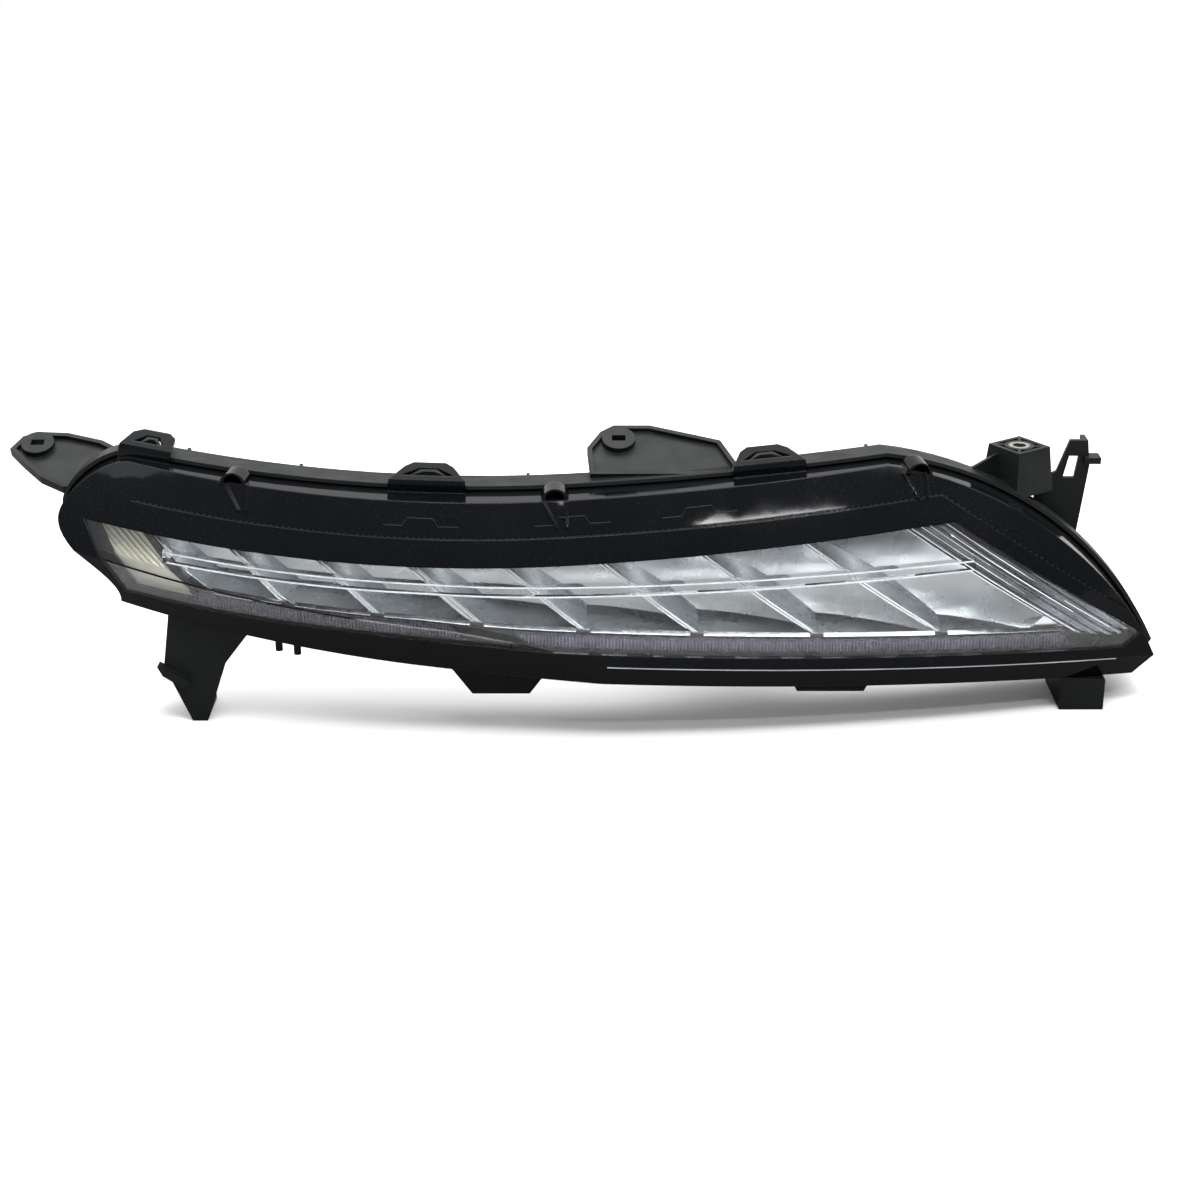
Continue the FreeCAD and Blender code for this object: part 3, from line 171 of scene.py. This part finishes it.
# %% Room
world = bpy.data.worlds.new("studio")
bpy.context.scene.world = world
world.use_nodes = True
tree = world.node_tree
tree.nodes.clear()
where = add(tree, "TexCoord").outputs["Generated"]
away = add(tree, "SeparateXYZ", {"Vector": where}).outputs["Y"]
toward = add(tree, "MapRange", {"Value": away}, From_Min=-0.6, From_Max=0.5)
room = add(tree, "ValToRGB", {"Fac": toward.outputs["Result"]})
room.color_ramp.elements[0].color = linear("#b6b8ba")
room.color_ramp.elements[1].color = linear("#ffffff")
dim = add(tree, "Background", {"Color": room.outputs["Color"]}, Strength=1.0)
white = add(tree, "Background", Color=(1, 1, 1, 1), Strength=1.0)
shown = add(tree, "MixShader", {0: looking(tree, "Camera", "Transmission"),
                                1: dim.outputs["Background"], 2: white.outputs["Background"]})
add(tree, "OutputWorld", {"Surface": shown.outputs["Shader"]})


# %% Soft lights
def soft_light(name, place, target, width, depth, power):
    """Rectangular soft box that looks at a target."""
    data = bpy.data.lights.new(name, "AREA")
    data.shape = "RECTANGLE"
    data.size = width
    data.size_y = depth
    data.energy = power
    lamp = bpy.data.objects.new(name, data)
    lamp.location = place
    lamp.rotation_euler = (Vector(target) - Vector(place)).to_track_quat("-Z", "Y").to_euler()
    bpy.context.scene.collection.objects.link(lamp)


soft_light("overhead", (0.0, 0.3, 2.2), (0, 0.1, 0), width=4.4, depth=3.0, power=115)
soft_light("key", (0.2, -0.72, 1.7), (0.05, 0, 0.08), width=1.0, depth=0.3, power=16)
soft_light("spark", (0.62, -1.15, 1.45), (0.05, 0, 0.08), width=0.4, depth=0.06, power=5)

# %% [markdown]
# ## Clear front cover
# The window is hard-coated polycarbonate 3 mm thick, and light passes it almost freely. Shadow rays are let
# straight through, so the studio light reaches the mirrors as it does through the real thin wall. Both clear
# plastics have a lower refractive index here than in reality, which keeps the cells as clear as in the photo.

# %% Clear plastics
def clear_plastic(name, tint, ior, rough_low, rough_high):
    """Clear moulded plastic with slight haze."""
    made, tree = material(name)
    where = add(tree, "TexCoord").outputs["Object"]
    haze = spread(tree, where, 60, rough_low, rough_high)
    body = add(tree, "BsdfPrincipled", {"Roughness": haze}, Base_Color=linear(tint), IOR=ior)
    body.inputs["Transmission Weight"].default_value = 1.0
    through = add(tree, "BsdfTransparent", Color=linear(tint))
    mixed = add(tree, "MixShader",
                {0: looking(tree, "Shadow"), 1: body.outputs["BSDF"], 2: through.outputs["BSDF"]})
    add(tree, "OutputMaterial", {"Surface": mixed.outputs["Shader"]})


clear_plastic("clear polycarbonate", "#f4f5f5", 1.4, 0.0, 0.02)
clear_plastic("clear acrylic", "#fafbfb", 1.1, 0.0, 0.03)
paint("clear polycarbonate", "clear_lens")
paint("clear acrylic", "light_guide")

# %% [markdown]
# ## Opaque plastics and metals
# The black of the cover is polished tool-finish plastic with a thin film of dust. The tub is grained
# polypropylene, greyer and dull. The cells are plastic with a vapour-coated mirror film, a little soft in
# its reflection because the moulding under it is never perfectly smooth.

# %% Dust
def dusted(tree, where, tone, soft, amount):
    """Tone and roughness with fine pale specks that gather in patches."""
    speck = add(tree, "TexNoise", {"Vector": where}, Scale=per_mm(0.7), Detail=1.0)
    point = add(tree, "MapRange", {"Value": speck.outputs["Fac"]},
                From_Min=0.66, From_Max=0.72, To_Max=amount)
    patch = spread(tree, where, 55, 0.1, 1.0)
    film = add(tree, "Math", {0: point.outputs["Result"], 1: patch}, operation="MULTIPLY").outputs["Value"]
    mixed = add(tree, "MixRGB", {"Fac": film, "Color1": tone}, Color2=linear("#8c8f90"))
    rough = add(tree, "Math", {0: soft, 1: film}, operation="ADD")
    return mixed.outputs["Color"], rough.outputs["Value"]


# %% Opaque finishes
def finish(name, dark, pale, patch, rough, metallic=0.0, grain=0.0, grain_height=0.0,
           rounding=0.4, sheen=0.5, dust=0.0):
    """Surface with two close tones in patches of some mm, a roughness range and a fine grain."""
    made, tree = material(name)
    where = add(tree, "TexCoord").outputs["Object"]
    tone = two_tone(tree, spread(tree, where, patch, 0, 1), dark, pale)
    soft = spread(tree, where, patch / 3, rough[0], rough[1])
    if dust:
        tone, soft = dusted(tree, where, tone, soft, dust)
    edge = add(tree, "Bevel", samples=4, Radius=rounding * MM)
    body = add(tree, "BsdfPrincipled",
               {"Base Color": tone, "Roughness": soft, "Normal": edge.outputs["Normal"]}, Metallic=metallic)
    body.inputs["Specular IOR Level"].default_value = sheen
    if grain:
        fine = add(tree, "TexNoise", {"Vector": where}, Scale=per_mm(grain), Detail=2.0)
        links = {"Height": fine.outputs["Fac"], "Normal": edge.outputs["Normal"]}
        bump = add(tree, "Bump", links, Strength=0.6, Distance=grain_height * MM)
        tree.links.new(bump.outputs["Normal"], body.inputs["Normal"])
    add(tree, "OutputMaterial", {"Surface": body.outputs["BSDF"]})


# %% Plastics and rubber
finish("black polycarbonate", "#050608", "#0a0c0f", 70, (0.03, 0.1), grain=40, grain_height=0.006,
       rounding=1.2, sheen=0.14, dust=0.06)
finish("grained polypropylene", "#0d0f0f", "#171919", 45, (0.35, 0.55), grain=0.5, grain_height=0.08,
       rounding=0.6, sheen=0.2, dust=0.06)
finish("satin black mask", "#0d0e11", "#16181b", 40, (0.25, 0.4), grain=0.8, grain_height=0.02)
finish("cream polycarbonate", "#b9b6a8", "#d0cdbf", 20, (0.3, 0.5), grain=1.0, grain_height=0.05)
finish("white solder mask", "#c9cbc6", "#dddfda", 10, (0.35, 0.5))
finish("phosphor", "#d6b93c", "#e8cf5a", 3, (0.4, 0.6))
finish("soft rubber", "#141414", "#1f1f1f", 15, (0.6, 0.8), grain=0.6, grain_height=0.05)
finish("connector polyamide", "#18191b", "#242528", 12, (0.4, 0.55), grain=0.5, grain_height=0.05)
finish("dark lilac acrylic", "#211f29", "#2d2a36", 15, (0.2, 0.35))

# %% Metals and mirror films
finish("vapour-coated mirror", "#b7babd", "#cfd2d5", 40, (0.24, 0.32), metallic=1.0,
       grain=9, grain_height=0.01)
finish("dark metallised trim", "#5b5e63", "#7d8086", 20, (0.15, 0.3), metallic=1.0)
finish("extruded aluminium", "#a3a6a9", "#bdc0c2", 12, (0.3, 0.45), metallic=1.0)
finish("zinc plated steel", "#9a9a94", "#b9b9b2", 6, (0.25, 0.4), metallic=1.0)
finish("die cast aluminium", "#8e9194", "#a6a9ab", 15, (0.4, 0.6), metallic=1.0,
       grain=0.8, grain_height=0.06)
finish("tinned contact", "#b5b5af", "#cfcfc8", 4, (0.2, 0.35), metallic=1.0)

# %% Fine edges, with painted highlights on the guide edges, the seam dashes and the chin line
finish("satin lilac acrylic", "#4c485a", "#68627a", 12, (0.18, 0.32), rounding=0.2)
finish("bright mirror edge", "#d9dce0", "#eceef1", 12, (0.08, 0.2), metallic=1.0, rounding=0.2)
# Painted highlight: pale opaque colour for the edges of the clear light guide.
finish("painted guide edge highlight", "#c4cbd1", "#dde3e8", 15, (0.2, 0.4), rounding=0.2)
# Painted highlight: pale grey for the strip along the chin fold of the black cover.
finish("painted chin highlight", "#6f7376", "#9a9ea1", 35, (0.1, 0.25), rounding=0.2)
# Painted glint: a grey lighter than the cover's black, for the moulded dashes and marks on the band.
finish("dull black with painted glint", "#1d1f21", "#2c2f32", 8, (0.3, 0.5), rounding=0.2, sheen=0.3)

# %% Paint the nodes
CELLS = 8
numbers = range(1, CELLS + 1)
paint("black polycarbonate", "lens_frame")
paint("grained polypropylene", "housing", "foot_bracket", "rest_bracket")
paint("satin black mask", "mask")
paint("dark lilac acrylic", "fluted_strip_left", "fluted_strip_right")
paint("vapour-coated mirror", "reflector_left", "reflector_right")
paint("cream polycarbonate", "end_reflector")
paint("dark metallised trim", "end_trim")
paint("white solder mask", *["led_board_%d" % n for n in numbers])
paint("extruded aluminium", *["heat_sink_%d" % n for n in numbers])
paint("phosphor", "led_chips")
paint("zinc plated steel", "tower_insert", "driver_screws")
paint("die cast aluminium", "driver_module")
paint("soft rubber", "seal_bead", "driver_gasket", "connector_seal", "vent_cap_1", "vent_cap_2")
paint("connector polyamide", "connector_socket")
paint("tinned contact", "connector_pins")

# %% [markdown]
# ## Fine work on the moulded lines
# The guides of the front view are repeated here in millimetres: the line above the window, the keel and the
# slanted dividers. A ray along Y finds the front of a node at any place, so each fine rib lies on its part.

# %% Guides of the front view
ORIGIN = Vector((-4.332, 69.655, -12.0))
DIP_X, DIP_Z = -63, 97
DIP_LEFT_RISE, DIP_LEFT_SPAN = 18.5, 229
DIP_RIGHT_RISE, DIP_RIGHT_SPAN = 15, 276
KEEL_X, KEEL_Z, KEEL_SLOPE = -20, 28, 0.06
KEEL_RISE, KEEL_SPAN = 20.5, 255
STRIP_LIFT, STRIP_GROWTH = 18, 12
STRIP_START, STRIP_END = -281, -100
CREASE_LIFT, CREASE_DROP = 29, 15
CREASE_START, CREASE_END = -88, 4
CELL_GAP = 2
GUIDE_SHARE = 0.62
FIRST_DIVIDER, DIVIDER_PITCH, PITCH_GROWTH = -246, 47.5, 1.5
SLANT, SLANT_GROWTH = 1.05, 0.06


def window_top(x):
    """Upper edge of the clear window."""
    if x < DIP_X:
        return DIP_Z + DIP_LEFT_RISE * ((DIP_X - x) / DIP_LEFT_SPAN) ** 2
    return DIP_Z + DIP_RIGHT_RISE * ((x - DIP_X) / DIP_RIGHT_SPAN) ** 1.5


def keel(x):
    """Lower edge of the front cover."""
    return KEEL_Z - KEEL_SLOPE * (x - KEEL_X) + KEEL_RISE * max(0.0, (KEEL_X - x) / KEEL_SPAN) ** 2


def share(x, start, end):
    """0 before start, 1 after end."""
    return min(1.0, max(0.0, (x - start) / (end - start)))


def cell_bottom(x):
    """Lower edge of the mirror cells, just above the ribbed strip."""
    return keel(x) + STRIP_LIFT + STRIP_GROWTH * share(x, STRIP_START, STRIP_END)


def cell_top(x):
    """Upper edge of the mirror cells."""
    return window_top(x) - CELL_GAP


def crease(x):
    """Fold of the cover above the keel."""
    return keel(x) + CREASE_LIFT - CREASE_DROP * share(x, CREASE_START, CREASE_END)


def guide_line(x):
    """Middle of the light guide."""
    return cell_bottom(x) + GUIDE_SHARE * (cell_top(x) - cell_bottom(x))


def divider(i, share_down):
    """Place on a slanted divider, from 0 at its upper end to 1 at its lower end."""
    x = FIRST_DIVIDER + DIVIDER_PITCH * i + PITCH_GROWTH * i * i
    slant = SLANT + SLANT_GROWTH * i
    middle = (cell_top(x) + cell_bottom(x)) / 2
    ends = []
    for guide in (cell_top, cell_bottom):
        end = x
        for step in range(8):
            end = x + slant * (middle - guide(end))
        ends.append((end, guide(end)))
    (x0, z0), (x1, z1) = ends
    return x0 + share_down * (x1 - x0), z0 + share_down * (z1 - z0)


# %% Draping helpers
bpy.context.view_layer.update()
skins = {}


def front(names, x, z):
    """Front-most point of some nodes at a place in the front view, in metres."""
    start = (Vector((x, 0, z)) - ORIGIN) * MM
    start.y = -0.3
    found = []
    for name in names:
        if name not in skins:
            mesh = nodes[name].data
            corners = [nodes[name].matrix_world @ v.co for v in mesh.vertices]
            skins[name] = BVHTree.FromPolygons(corners, [p.vertices[:] for p in mesh.polygons])
        place = skins[name].ray_cast(start, Vector((0, 1, 0)))[0]
        if place:
            found.append(place)
    return min(found, key=lambda place: place.y) if found else None


def drape(names, places):
    """Path on the front of some nodes through places of the front view."""
    found = [front(names, x, z) for x, z in places]
    return [place for place in found if place]


def rails(name, paths, section, stuff):
    """One piece of thin bars with the same section, given as offsets in mm from each path."""
    points = []
    faces = []
    size = len(section)
    for path in paths:
        if len(path) < 2:
            continue
        base = len(points)
        for place in path:
            points += [place + Vector(offset) * MM for offset in section]
        for row in range(len(path) - 1):
            for k in range(size):
                a = base + row * size + k
                b = base + row * size + (k + 1) % size
                faces.append((a, b, b + size, a + size))
        faces.append(tuple(range(base + size - 1, base - 1, -1)))
        faces.append(tuple(range(len(points) - size, len(points))))
    mesh = bpy.data.meshes.new(name)
    mesh.from_pydata(points, [], faces)
    shell = bmesh.new()
    shell.from_mesh(mesh)
    bmesh.ops.recalc_face_normals(shell, faces=shell.faces)
    shell.to_mesh(mesh)
    shell.free()
    mesh.materials.append(bpy.data.materials[stuff])
    piece = bpy.data.objects.new(name, mesh)
    bpy.context.scene.collection.objects.link(piece)
    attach(piece, "root")
    print(name, len(paths), "bars,", len(faces), "faces")


def steps(start, end, pitch):
    """Even places from start to end, about a pitch apart."""
    count = max(1, round((end - start) / pitch))
    return [start + (end - start) * k / count for k in range(count + 1)]


# %% [markdown]
# ## Ribbed strip, ledges and divider edges
# The strip under the cells has fine upright ribs 2 mm apart. Each cell ends below in a bright ledge, and
# each divider shows two thin edges with a gap between them.

# %% Strip ribs
RIB_PITCH, RIB_FOOT, RIB_HEIGHT = 2.0, 8.5, 8
half_round = [(-0.7, 0.3, 0), (-0.5, -0.45, 0), (0, -0.7, 0), (0.5, -0.45, 0), (0.7, 0.3, 0)]
for side in ("left", "right"):
    node = "fluted_strip_" + side
    spans = []
    for x in steps(-262, 316, RIB_PITCH):
        low = cell_bottom(x) - RIB_FOOT
        path = drape([node], [(x, low + RIB_HEIGHT * k / 4) for k in range(5)])
        if len(path) > 1:
            spans.append(path)
    rails("strip_ribs_" + side, spans, half_round, "satin lilac acrylic")

# %% Ledges under the cells
LEDGE_INSET, LEDGE_DROP, LEDGE_LIFT = 4, 1.2, 1.6
mirrors = ["reflector_left", "reflector_right"]
ledge = [(0, 0.5, 0), (0, -2.2, 0), (0, 0.5, 1.7)]
paths = []
for i in range(CELLS):
    start = divider(i, 1)[0] + LEDGE_INSET
    end = divider(i + 1, 1)[0] - LEDGE_INSET
    paths.append(drape(["mask"], [(x, cell_bottom(x) - LEDGE_DROP) for x in steps(start, end, 4)]))
paths = [[place + Vector((0, 0, LEDGE_LIFT * MM)) for place in path] for path in paths]
rails("cell_ledges", paths, ledge, "bright mirror edge")

# %% Edges of the dividers
square = [(-0.5, 0.6, 0), (-0.5, -0.7, 0), (0.5, -0.7, 0), (0.5, 0.6, 0)]
paths = []
for i in range(CELLS + 1):
    for side in (-1.5, 1.5):
        places = [divider(i, 0.03 + 0.94 * k / 16) for k in range(17)]
        paths.append(drape(mirrors, [(x + side * 0.4, z) for x, z in places]))
        paths[-1] = [place + Vector((side * 0.6 * MM, 0, 0)) for place in paths[-1]]
rails("divider_edges", paths, square, "bright mirror edge")

# %% [markdown]
# ## Light guide, end ribs and cover lines
# The light guide is clear, and its upper and lower edges are drawn as two thin strips painted pale, a painted
# highlight. The outboard trim carries bright slanted ribs. On the black cover there is a row of fine moulded
# dashes along the seam, painted a lighter grey as painted glint, and the fold of the chin is a pale grey
# painted highlight.

# %% Light guide edges, painted pale as highlights
GUIDE_HALF = 2.5
# The two strips along the clear guide are painted pale as painted highlights.
fine = [(0, 0.3, -0.4), (0, -0.4, -0.4), (0, -0.4, 0.4), (0, 0.3, 0.4)]
runs = steps(divider(0, 0.4)[0], divider(CELLS, 0.4)[0] + 6, 6)
paths = [drape(["light_guide"], [(x, guide_line(x) + side * GUIDE_HALF) for x in runs]) for side in (-1, 1)]
rails("guide_edges", paths, fine, "painted guide edge highlight")

# %% Outboard ribs
OUTBOARD_RIBS, OUTBOARD_START, OUTBOARD_PITCH = 7, 4.5, 5.5
paths = []
for k in range(OUTBOARD_RIBS):
    places = []
    for step in range(20):
        x, z = divider(CELLS, 1.7 * step / 19)
        places.append((x + OUTBOARD_START + OUTBOARD_PITCH * k, z))
    paths.append(drape(["end_trim"], places))
rails("outboard_ribs", paths, square, "bright mirror edge")

# %% Seam dashes, moulded, with painted glint
SEAM_LIFT, SEAM_TURN_X, SEAM_FALL = 15, 206.5, 0.632
# The dashes are moulded serrations; their lighter grey is painted glint.
dash = [(0, 0.6, -0.35), (0, -0.2, -0.35), (0, -0.2, 0.35), (0, 0.6, 0.35)]
paths = []
for x in steps(-268, 205, 3.6):
    places = [(end, window_top(end) + SEAM_LIFT) for end in (x, x + 2.2)]
    paths.append(drape(["lens_frame"], places))
for k in range(30):
    x = 208 + 3.4 * k
    z = window_top(SEAM_TURN_X) + SEAM_LIFT - (x - SEAM_TURN_X) * SEAM_FALL
    paths.append(drape(["lens_frame"], [(x, z), (x + 1.9, z - 1.9 * SEAM_FALL)]))
rails("seam_dashes", paths, dash, "dull black with painted glint")

# %% Chin line, a painted highlight
# A pale grey strip along the fold of the black cover is a painted highlight; the real fold is the same black
# plastic.
facet = [(0, 0.4, 0), (0, -0.9, 0), (0, 0.4, 0.8)]
run = drape(["lens_frame"], [(x, crease(x) - 0.8) for x in steps(8, 318, 5)])
rails("chin_highlight_line", [run], facet, "painted chin highlight")

# %% Marks on the black band, with painted glint
MARK_PLACES, MARK_LIFT = (-100, -12, 62), 21
notch = [(0, 0.3, -0.25), (0, -0.2, -0.25), (0, -0.2, 0.25), (0, 0.3, 0.25)]
outline = [(-22, 0), (-11, 0), (-8, 4), (7, 4), (10, 0), (22, 0)]
paths = []
for x in MARK_PLACES:
    places = []
    for (x0, z0), (x1, z1) in zip(outline, outline[1:]):
        places += [(x + x0 + (x1 - x0) * k / 4, z0 + (z1 - z0) * k / 4) for k in range(5)]
    paths.append(drape(["lens_frame"], [(px, window_top(px) + MARK_LIFT + pz) for px, pz in places]))
rails("band_marks", paths, notch, "dull black with painted glint")

# %% Fine ticks low in the cells
TICK_PITCH, TICK_LIFT, TICK_INSET = 1.5, 5.5, 9
tick = [(-0.25, 0.3, 0), (0, -0.4, 0), (0.25, 0.3, 0)]
paths = []
for i in range(3, CELLS):
    start = divider(i, 0.8)[0] + TICK_INSET
    end = divider(i + 1, 0.8)[0] - TICK_INSET
    for x in steps(start, end, TICK_PITCH):
        low = cell_bottom(x) + TICK_LIFT
        paths.append(drape(mirrors, [(x, low + k) for k in range(5)]))
rails("cell_ticks", paths, tick, "bright mirror edge")
